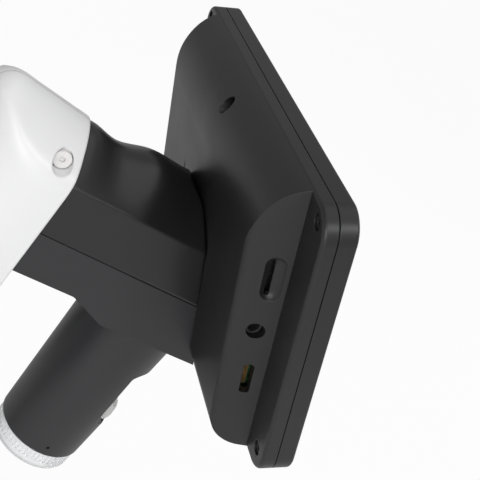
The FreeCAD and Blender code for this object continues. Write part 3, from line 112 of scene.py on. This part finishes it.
class Nodes:
    """A node tree, filled by one method for any node."""

    def __init__(self, tree: bpy.types.NodeTree) -> None:
        """Start with an empty tree."""
        self.tree = tree
        self.tree.nodes.clear()

    def node(
        self, kind: str, settings: Dict[str, Any], inputs: Dict[Any, Any], output: Any = 0
    ) -> Value:
        """Make a node of any type.

        Args:
            kind: the node's type name.
            settings: the node's own properties, set first.
            inputs: plain values or Values by socket name or number.
            output: the wanted output, by name or number.

        Returns:
            The chosen output.
        """
        made = self.tree.nodes.new(kind)
        for key, value in settings.items():
            setattr(made, key, value)
        for key, value in inputs.items():
            socket = made.inputs[key]
            if isinstance(value, Value):
                self.tree.links.new(value.socket, socket)
            elif isinstance(value, tuple) and len(value) == 3 and len(socket.default_value) == 4:
                socket.default_value = (*value, 1.0)
            else:
                socket.default_value = value
        return Value(self, made.outputs[output])

    def ray(self, kind: str) -> Value:
        """1 for one kind of ray, such as "Is Camera Ray", else 0."""
        return self.node("ShaderNodeLightPath", {}, {}, kind)

    def show(self, kind: str, surface: Value) -> None:
        """Connect the surface to an output node of the given type."""
        out = self.tree.nodes.new(kind)
        self.tree.links.new(surface.socket, out.inputs["Surface"])


class Shader(Nodes):
    """A material's nodes."""

    bevel_samples = 6

    def __init__(self, name: str) -> None:
        """Start an empty node material."""
        self.material = bpy.data.materials.new(name)
        self.material.use_nodes = True
        super().__init__(self.material.node_tree)

    def place(self) -> Value:
        """The point on the surface, in the object's own metres."""
        return self.node("ShaderNodeTexCoord", {}, {}, "Object")

    def noise(self, size: float, detail: float, stretch: Place = (1.0, 1.0, 1.0)) -> Value:
        """Soft noise from 0 to 1.

        Args:
            size: the blobs' size in metres.
            detail: how many finer layers are added.
            stretch: how much finer the pattern is along each axis.

        Returns:
            The noise.
        """
        place = self.node(
            "ShaderNodeVectorMath", {"operation": "MULTIPLY"}, {0: self.place(), 1: stretch}
        )
        inputs = {"Vector": place, "Scale": 1.0 / size, "Detail": detail}
        return self.node("ShaderNodeTexNoise", {}, inputs)

    def cells(self, feature: str, scale: float) -> Value:
        """The distance that a cell pattern gives for a feature.

        Args:
            feature: what the distance is measured to.
            scale: the number of cells in a metre.

        Returns:
            The distance, as a share of a cell.
        """
        inputs = {"Vector": self.place(), "Scale": scale}
        return self.node("ShaderNodeTexVoronoi", {"feature": feature}, inputs)

    def mix(self, share: Any, first: Any, second: Any) -> Value:
        """Blend two colours by a share from 0 to 1."""
        inputs = {0: share, 6: first, 7: second}
        return self.node("ShaderNodeMix", {"data_type": "RGBA"}, inputs, 2)

    def bump(self, height: Value, depth: float, edge: float) -> Value:
        """A normal bent by a height in metres, with edges that read as softened.

        Args:
            height: the height from 0 to 1.
            depth: the height's size in metres.
            edge: the edges' radius in metres, or 0.

        Returns:
            The normal.
        """
        inputs: Dict[Any, Any] = {"Strength": 1.0, "Distance": depth, "Height": height}
        if edge > 0:
            settings = {"samples": self.bevel_samples}
            inputs["Normal"] = self.node("ShaderNodeBevel", settings, {"Radius": edge})
        return self.node("ShaderNodeBump", {}, inputs)

    def principled(self, inputs: Dict[Any, Any]) -> Value:
        """The general surface, with the given inputs."""
        return self.node("ShaderNodeBsdfPrincipled", {}, inputs)

    def finish(self, surface: Value) -> bpy.types.Material:
        """Connect the surface and return the material."""
        self.show("ShaderNodeOutputMaterial", surface)
        return self.material


@dataclass(frozen=True)
class Finish:
    """A surface finish of the microscope's parts."""

    name: str
    colour: Colour
    roughness: float
    metallic: float = 0.0
    edge: float = 0.0004

    def build(self) -> bpy.types.Material:
        """Make the material."""
        raise NotImplementedError

    def dress(self, *pieces: bpy.types.Object) -> None:
        """Give the pieces this finish."""
        material = bpy.data.materials.get(self.name) or self.build()
        for piece in pieces:
            if not piece.data.materials:
                piece.data.materials.append(material)
            for slot in piece.material_slots:
                slot.material = material


@dataclass(frozen=True)
class Moulded(Finish):
    """Injection-moulded plastic with a fine eroded grain and slight handling marks."""

    grain_size: float = 0.0006
    grain_depth: float = 0.000012
    mottle: float = 0.12
    smudge: float = 0.10
    coat: float = 0.0
    cloud_size: float = 0.035
    smudge_size: float = 0.018

    def build(self) -> bpy.types.Material:
        """Make the grained plastic."""
        shader = Shader(self.name)
        cloud = shader.noise(self.cloud_size, detail=3.0)
        grain = shader.noise(self.grain_size, detail=2.0)
        marks = shader.noise(self.smudge_size, detail=4.0)
        dark = tuple(c * (1.0 - self.mottle) for c in self.colour)
        light = tuple(c * (1.0 + self.mottle) for c in self.colour)
        inputs = {
            "Base Color": shader.mix(cloud, dark, light),
            "Roughness": self.roughness + self.smudge * (marks - NOISE_MIDDLE),
            "Metallic": self.metallic,
            "Coat Weight": self.coat,
            "Normal": shader.bump(grain, self.grain_depth, self.edge),
        }
        return shader.finish(shader.principled(inputs))


@dataclass(frozen=True)
class Machined(Finish):
    """Metal with fine tool lines along one direction."""

    stretch: Place = (1.0, 1.0, 30.0)
    depth: float = 0.000008
    line_size: float = 0.004
    streak: float = 0.16
    cloud_size: float = 0.02
    # the share of its colour that the metal keeps in soft random clouds
    cloud_darkening: float = 0.82

    def build(self) -> bpy.types.Material:
        """Make the metal."""
        shader = Shader(self.name)
        lines = shader.noise(self.line_size, detail=3.0, stretch=self.stretch)
        cloud = shader.noise(self.cloud_size, detail=3.0)
        dark = tuple(c * self.cloud_darkening for c in self.colour)
        inputs = {
            "Base Color": shader.mix(cloud, dark, self.colour),
            "Roughness": self.roughness + self.streak * (lines - NOISE_MIDDLE),
            "Metallic": self.metallic,
            "Normal": shader.bump(lines, self.depth, self.edge),
        }
        return shader.finish(shader.principled(inputs))


@dataclass(frozen=True)
class Clear(Finish):
    """Clear plastic or glass, a little hazed all over."""

    haze: float = 0.3
    index: float = 1.49
    ripple_size: float = 0.006
    ripple_depth: float = 0.00001
    # painted highlight: how much lighter the colour is painted on the ripples' crests
    painted_gleam_lift: float = 1.04

    def build(self) -> bpy.types.Material:
        """Make the clear material, with a painted gleam on its ripples."""
        shader = Shader(self.name)
        ripple = shader.noise(self.ripple_size, detail=2.0)
        normal = shader.bump(ripple, self.ripple_depth, self.edge)
        # painted highlight: the ripples' crests get a lighter colour, a painted gleam
        light = tuple(min(1.0, c * self.painted_gleam_lift) for c in self.colour)
        glass = {
            "Base Color": shader.mix(ripple, self.colour, light),
            "Roughness": self.roughness,
            "IOR": self.index,
            "Transmission Weight": 1.0,
            "Normal": normal,
        }
        clear = shader.principled(glass)
        milky = shader.principled({**glass, "Transmission Weight": 0.0})
        return shader.finish(
            shader.node("ShaderNodeMixShader", {}, {0: self.haze, 1: clear, 2: milky})
        )


@dataclass(frozen=True)
class Rubber(Finish):
    """Soft rubber with a dusty bloom."""

    dust_size: float = 0.009
    dust_share: float = 0.35
    dust_colour: Colour = (0.16, 0.16, 0.16)
    grain_size: float = 0.001
    grain_depth: float = 0.00003

    def build(self) -> bpy.types.Material:
        """Make the rubber."""
        shader = Shader(self.name)
        dust = shader.noise(self.dust_size, detail=5.0)
        grain = shader.noise(self.grain_size, detail=3.0)
        inputs = {
            "Base Color": shader.mix(dust * self.dust_share, self.colour, self.dust_colour),
            "Roughness": self.roughness,
            "Normal": shader.bump(grain, self.grain_depth, self.edge),
        }
        return shader.finish(shader.principled(inputs))


@dataclass(frozen=True)
class CircuitBoard(Finish):
    """Solder-masked board with fine copper runs and pads."""

    run_scale: float = 260.0
    run_width: float = 0.06
    run_depth: float = 0.00002
    run_share: float = 0.5
    run_colour: Colour = (0.10, 0.30, 0.16)
    pad_scale: float = 420.0
    pad_radius: float = 0.16
    pad_colour: Colour = (0.62, 0.55, 0.40)
    pad_metal: float = 0.8

    def build(self) -> bpy.types.Material:
        """Make the board."""
        shader = Shader(self.name)
        runs = shader.cells("DISTANCE_TO_EDGE", self.run_scale).below(self.run_width)
        pads = shader.cells("F1", self.pad_scale).below(self.pad_radius)
        green = shader.mix(runs * self.run_share, self.colour, self.run_colour)
        inputs = {
            "Base Color": shader.mix(pads, green, self.pad_colour),
            "Roughness": self.roughness,
            "Metallic": pads * self.pad_metal,
            "Normal": shader.bump(runs, self.run_depth, self.edge),
        }
        return shader.finish(shader.principled(inputs))


class Look(Enum):
    """Every finish on the microscope."""

    HOOD_WHITE = Moulded(
        "hood white", (0.76, 0.76, 0.765), 0.36, edge=0.0009, grain_depth=0.000004, mottle=0.015
    )
    BASE_WHITE = Moulded(
        "base white", (0.74, 0.74, 0.75), 0.38, edge=0.0008, grain_depth=0.000004, mottle=0.02
    )
    SHELL_BLACK = Moulded("shell black", (0.0085, 0.0086, 0.0092), 0.42, grain_depth=0.000010)
    NECK_BLACK = Moulded(
        "neck black", (0.0095, 0.0095, 0.0105), 0.30, edge=0.0014, grain_depth=0.000006
    )
    LOWER_BLACK = Moulded("lower neck black", (0.018, 0.018, 0.020), 0.45, edge=0.0006)
    BARREL_BLACK = Moulded("barrel black", (0.019, 0.019, 0.021), 0.42, edge=0.0006)
    KNOB_BLACK = Moulded("knob black", (0.012, 0.012, 0.013), 0.45, edge=0.0004)
    PLATE_BLACK = Moulded("plate black", (0.02, 0.02, 0.02), 0.55)
    WHEEL_GREY = Moulded("wheel grey", (0.62, 0.62, 0.60), 0.45, edge=0.0003, mottle=0.03)
    PLUG_TAN = Moulded("plug tan", (0.74, 0.72, 0.71), 0.5, mottle=0.04)
    GUIDE_GREY = Moulded("guide grey", (0.55, 0.55, 0.54), 0.5)
    STAGE_PLATE = Moulded("stage white", (0.70, 0.70, 0.69), 0.48, edge=0.0003, mottle=0.03)
    KEY_GREY = Moulded("key grey", (0.20, 0.20, 0.21), 0.32, edge=0.0003)
    SCREEN_GLASS = Moulded(
        "screen glass", (0.004, 0.004, 0.005), 0.06,
        edge=0.0003,
        grain_depth=0.0,
        mottle=0.3,
        smudge=0.03,
        coat=0.6,
    )
    DISPLAY = Moulded("display", (0.006, 0.006, 0.008), 0.2)
    CELL_WRAP = Moulded("cell wrap", (0.30, 0.32, 0.36), 0.25)
    RIBBON = Moulded("ribbon film", (0.55, 0.22, 0.03), 0.3)
    LAMP = Moulded("lamp white", (0.82, 0.80, 0.62), 0.3)
    STEEL = Machined("turned steel", (0.60, 0.60, 0.61), 0.30, metallic=1.0, edge=0.0002)
    PILLAR_STEEL = Machined(
        "pillar steel", (0.56, 0.56, 0.57), 0.27,
        metallic=1.0,
        edge=0.0004,
        stretch=(30.0, 30.0, 1.0),
    )
    DARK_STEEL = Machined("blackened steel", (0.045, 0.045, 0.05), 0.38, metallic=0.7, edge=0.0002)
    BRASS = Machined("brass", (0.70, 0.50, 0.20), 0.30, metallic=1.0, edge=0.0002)
    ANODISED = Machined("anodised aluminium", (0.55, 0.56, 0.57), 0.35, metallic=1.0, edge=0.0003)
    CAST = Moulded(
        "cast weight", (0.05, 0.05, 0.05), 0.7, metallic=0.5, grain_size=0.002, grain_depth=0.0001
    )
    RUBBER = Rubber("foot rubber", (0.018, 0.018, 0.018), 0.8)
    CLEAR_CAP = Clear("clear cap", (0.94, 0.95, 0.96), 0.10, edge=0.0002, haze=0.55)
    LENS = Clear("lens glass", (0.86, 0.92, 0.96), 0.02, edge=0.0, haze=0.04, index=1.52)
    BOARD = CircuitBoard("board green", (0.012, 0.085, 0.035), 0.35, edge=0.0002)

    def dress(self, *pieces: bpy.types.Object) -> None:
        """Give the pieces this finish."""
        self.value.dress(*pieces)


@dataclass
class Assembly:
    """A group of CAD nodes and the looks that each one gets."""

    frame: Dict[str, Any]
    looks: Dict[str, Look] = field(default_factory=dict)

    def node(self, name: str) -> bpy.types.Object:
        """The CAD node's object."""
        return self.frame["nodes"][name]

    def build(self) -> None:
        """Dress every node of the assembly, and report each."""
        for name, look in self.looks.items():
            look.dress(self.node(name))
            LOG.info("dressed %s with %s", name, look.value.name)


@dataclass
class Base(Assembly):
    """The weighted base with its stage, clips and feet."""

    looks: Dict[str, Look] = field(default_factory=lambda: {
        "base_cover": Look.BASE_WHITE,
        "base_plate": Look.PLATE_BLACK,
        "base_screws": Look.STEEL,
        "pillar_screws": Look.STEEL,
        "ballast_block": Look.CAST,
        "rubber_feet": Look.RUBBER,
        "stage_plate": Look.STAGE_PLATE,
        "clip_posts": Look.STEEL,
        "stage_clip_left": Look.STEEL,
        "stage_clip_right": Look.STEEL,
        "pillar": Look.PILLAR_STEEL,
        "gear_rack": Look.BRASS,
        "rack_stops": Look.STEEL,
    })


@dataclass
class Head(Assembly):
    """The white head that runs on the pillar, with its drive."""

    looks: Dict[str, Look] = field(default_factory=lambda: {
        "hood_left": Look.HOOD_WHITE,
        "hood_right": Look.HOOD_WHITE,
        "hood_screws": Look.PLUG_TAN,
        "column_guide": Look.GUIDE_GREY,
        "knob_shaft": Look.STEEL,
        "drive_pinion": Look.BRASS,
        "knob_left": Look.KNOB_BLACK,
        "knob_right": Look.KNOB_BLACK,
    })


@dataclass
class Neck(Assembly):
    """The black neck between the head and the screen."""

    looks: Dict[str, Look] = field(default_factory=lambda: {
        "neck_upper": Look.NECK_BLACK,
        "neck_lower": Look.LOWER_BLACK,
        "neck_frame": Look.STEEL,
        "neck_screws": Look.DARK_STEEL,
        "hinge_pin": Look.STEEL,
        "hinge_washers": Look.STEEL,
        "hinge_bracket": Look.DARK_STEEL,
    })


@dataclass
class Barrel(Assembly):
    """The camera barrel, its focus wheel, lenses and clear cap."""

    looks: Dict[str, Look] = field(default_factory=lambda: {
        "barrel_tube": Look.BARREL_BLACK,
        "barrel_clamp": Look.ANODISED,
        "barrel_cap": Look.CLEAR_CAP,
        "camera_board": Look.BOARD,
        "image_sensor": Look.DISPLAY,
        "camera_ribbon": Look.RIBBON,
        "light_ring_board": Look.BOARD,
        "light_ring_lamps": Look.LAMP,
        "focus_wheel": Look.WHEEL_GREY,
        "focus_axle": Look.STEEL,
        "lens_carriage": Look.ANODISED,
        "front_lens": Look.LENS,
        "rear_lens": Look.LENS,
    })


@dataclass
class Screen(Assembly):
    """The tilting screen with its ports and buttons."""

    looks: Dict[str, Look] = field(default_factory=lambda: {
        "monitor_bezel": Look.SHELL_BLACK,
        "monitor_back": Look.SHELL_BLACK,
        "screen_window": Look.SCREEN_GLASS,
        "display_panel": Look.DISPLAY,
        "main_board": Look.BOARD,
        "battery_pack": Look.CELL_WRAP,
        "button_board": Look.BOARD,
        "card_socket": Look.STEEL,
        "video_socket": Look.BRASS,
        "usb_socket": Look.STEEL,
        "audio_jack": Look.PLATE_BLACK,
        "power_jack": Look.PLATE_BLACK,
        "monitor_screws": Look.DARK_STEEL,
        "button_power": Look.KEY_GREY,
        "button_menu": Look.KEY_GREY,
        "button_up": Look.KEY_GREY,
        "button_select": Look.KEY_GREY,
        "button_down": Look.KEY_GREY,
        "button_snapshot": Look.KEY_GREY,
    })


@dataclass(frozen=True)
class Lamp:
    """One soft square lamp, aimed at a height on the pillar's line."""

    name: str
    place: Place
    aim_height: float
    size: float
    watts: float

    def hang(self) -> None:
        """Put the lamp in the room."""
        data = bpy.data.lights.new(self.name, "AREA")
        data.shape = "SQUARE"
        data.size = self.size
        data.energy = self.watts
        lamp = bpy.data.objects.new(self.name, data)
        bpy.context.scene.collection.objects.link(lamp)
        lamp.location = self.place
        lamp.rotation_mode = "QUATERNION"
        aim = Vector((0.0, 0.0, self.aim_height)) - Vector(self.place)
        lamp.rotation_quaternion = aim.to_track_quat("-Z", "Y")


@dataclass(frozen=True)
class Studio:
    """The camera, the pale floor and the soft lamps."""

    lens: float = 73.61
    sensor: float = 36.0
    nearest: float = 0.01
    farthest: float = 200.0
    eye: Place = (-0.266861, 0.136204, 0.322415)
    right: Place = (-0.227544, -0.760475, 0.608195)
    down: Place = (-0.571758, -0.401238, -0.715612)
    ahead: Place = (0.788236, -0.510574, -0.343508)
    floor_size: float = 40.0
    floor_colour: Colour = (0.86, 0.86, 0.86)
    floor_roughness: float = 0.9
    floor_white_share: float = 0.93
    soft_strength: float = 0.42
    lamps: Tuple[Lamp, ...] = (
        Lamp("overhead", (0.0, 0.1, 1.3), aim_height=0.15, size=1.0, watts=2.0),
        Lamp("side", (-1.35, 0.5, 0.45), aim_height=0.18, size=0.8, watts=9.5),
        Lamp("edge", (-1.06, -0.27, 1.24), aim_height=0.2, size=0.2, watts=5.0),
        Lamp("front", (0.3, -1.3, 0.8), aim_height=0.15, size=0.8, watts=4.0),
    )

    def camera(self) -> None:
        """Place the camera where the photograph was taken from."""
        data = bpy.data.cameras.new("camera")
        data.lens = self.lens
        data.sensor_width = self.sensor
        data.clip_start = self.nearest
        data.clip_end = self.farthest
        camera = bpy.data.objects.new("camera", data)
        bpy.context.scene.collection.objects.link(camera)
        rows = (self.right, [-c for c in self.down], [-c for c in self.ahead])
        turn = Matrix(rows).transposed()
        camera.matrix_world = Matrix.Translation(self.eye) @ turn.to_4x4()
        bpy.context.scene.camera = camera

    def floor(self) -> None:
        """Lay a plain pale floor that keeps the object's shadow."""
        half = self.floor_size / 2.0
        corners = [(-half, -half, 0), (half, -half, 0), (half, half, 0), (-half, half, 0)]
        mesh = bpy.data.meshes.new("floor")
        mesh.from_pydata(corners, [], [(0, 1, 2, 3)])
        floor = bpy.data.objects.new("floor", mesh)
        bpy.context.scene.collection.objects.link(floor)
        shader = Shader("floor")
        matt = shader.principled(
            {"Base Color": self.floor_colour, "Roughness": self.floor_roughness}
        )
        glow = shader.node("ShaderNodeEmission", {}, {"Color": WHITE, "Strength": 1.0})
        seen = shader.ray("Is Camera Ray").at_least(shader.ray("Is Transmission Ray"))
        share = seen * self.floor_white_share
        mixed = shader.node("ShaderNodeMixShader", {}, {0: share, 1: matt, 2: glow})
        mesh.materials.append(shader.finish(mixed))

    def world(self) -> None:
        """Light the room softly, and show white behind the object."""
        world = bpy.data.worlds.new("studio")
        bpy.context.scene.world = world
        world.use_nodes = True
        nodes = Nodes(world.node_tree)
        soft = {"Color": WHITE, "Strength": self.soft_strength}
        white = {"Color": WHITE, "Strength": 1.0}
        inputs = {
            0: nodes.ray("Is Camera Ray"),
            1: nodes.node("ShaderNodeBackground", {}, soft),
            2: nodes.node("ShaderNodeBackground", {}, white),
        }
        nodes.show("ShaderNodeOutputWorld", nodes.node("ShaderNodeMixShader", {}, inputs))

    def build(self) -> None:
        """Set the whole studio."""
        bpy.context.scene.view_settings.view_transform = "Standard"
        self.camera()
        self.floor()
        self.world()
        for lamp in self.lamps:
            lamp.hang()
        LOG.info("studio set")


def main() -> None:
    """Load the frame, set the studio and dress each sub-assembly in order."""
    logging.basicConfig(level=logging.INFO, format="%(message)s")
    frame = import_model()
    Studio().build()
    for assembly in (Base, Head, Neck, Barrel, Screen):
        assembly(frame).build()
        LOG.info("%s done", assembly.__name__)


if __name__ == "__main__":
    main()
